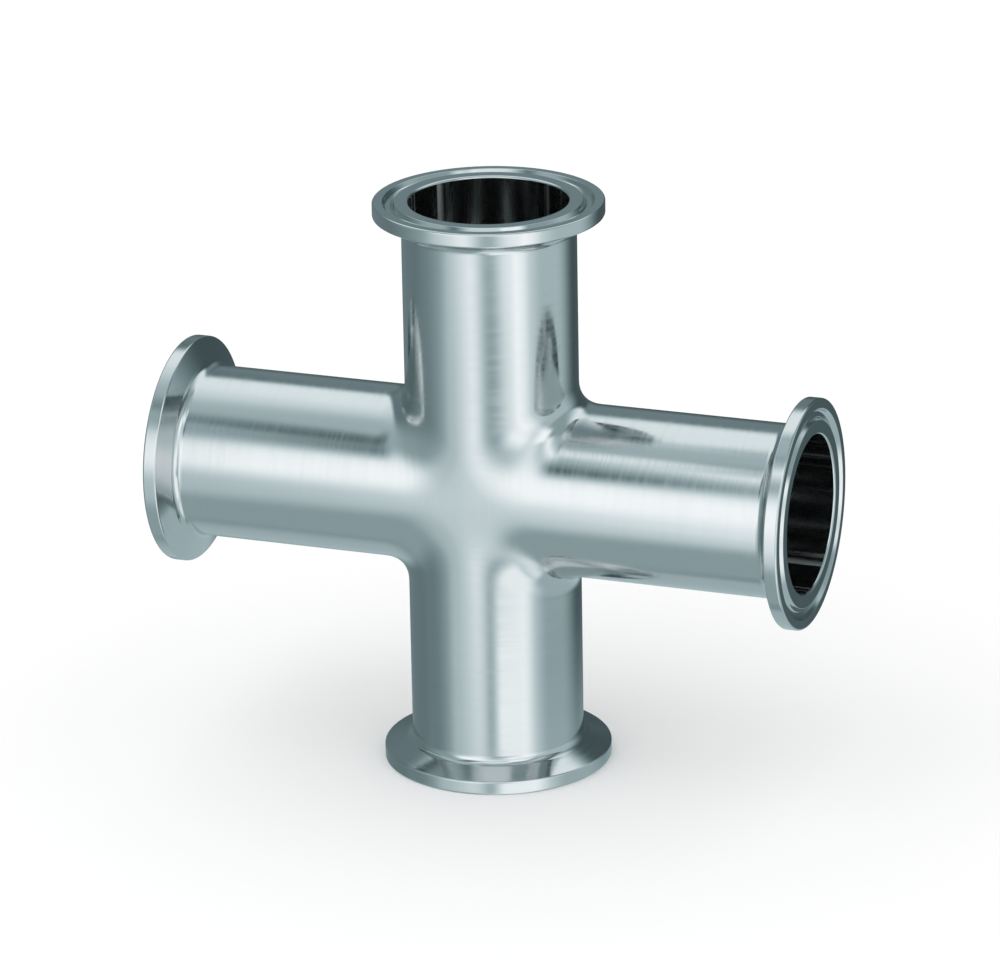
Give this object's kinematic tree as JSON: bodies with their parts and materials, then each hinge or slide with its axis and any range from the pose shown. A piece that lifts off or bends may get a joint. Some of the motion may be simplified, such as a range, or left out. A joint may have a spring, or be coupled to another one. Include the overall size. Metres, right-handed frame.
{
  "type": "sanitary clamp cross",
  "caption": "Four-way stainless pipe cross, with a grooved clamp ferrule on the end of each arm.",
  "frame": {"origin": "where the axes of the two bores cross, at the centre of the fitting", "axes": "+X along the run, the longer pair of arms; +Z along the branches, upwards; -Y is the front"},
  "size_m": [0.146, 0.0506, 0.1288],
  "materials": {
    "polished_stainless": "polished to a satin sheen, with fine lengthwise and round marks"
  },
  "bodies": {
    "root": {"clamp_cross": "polished_stainless"}
  },
  "joints": []
}
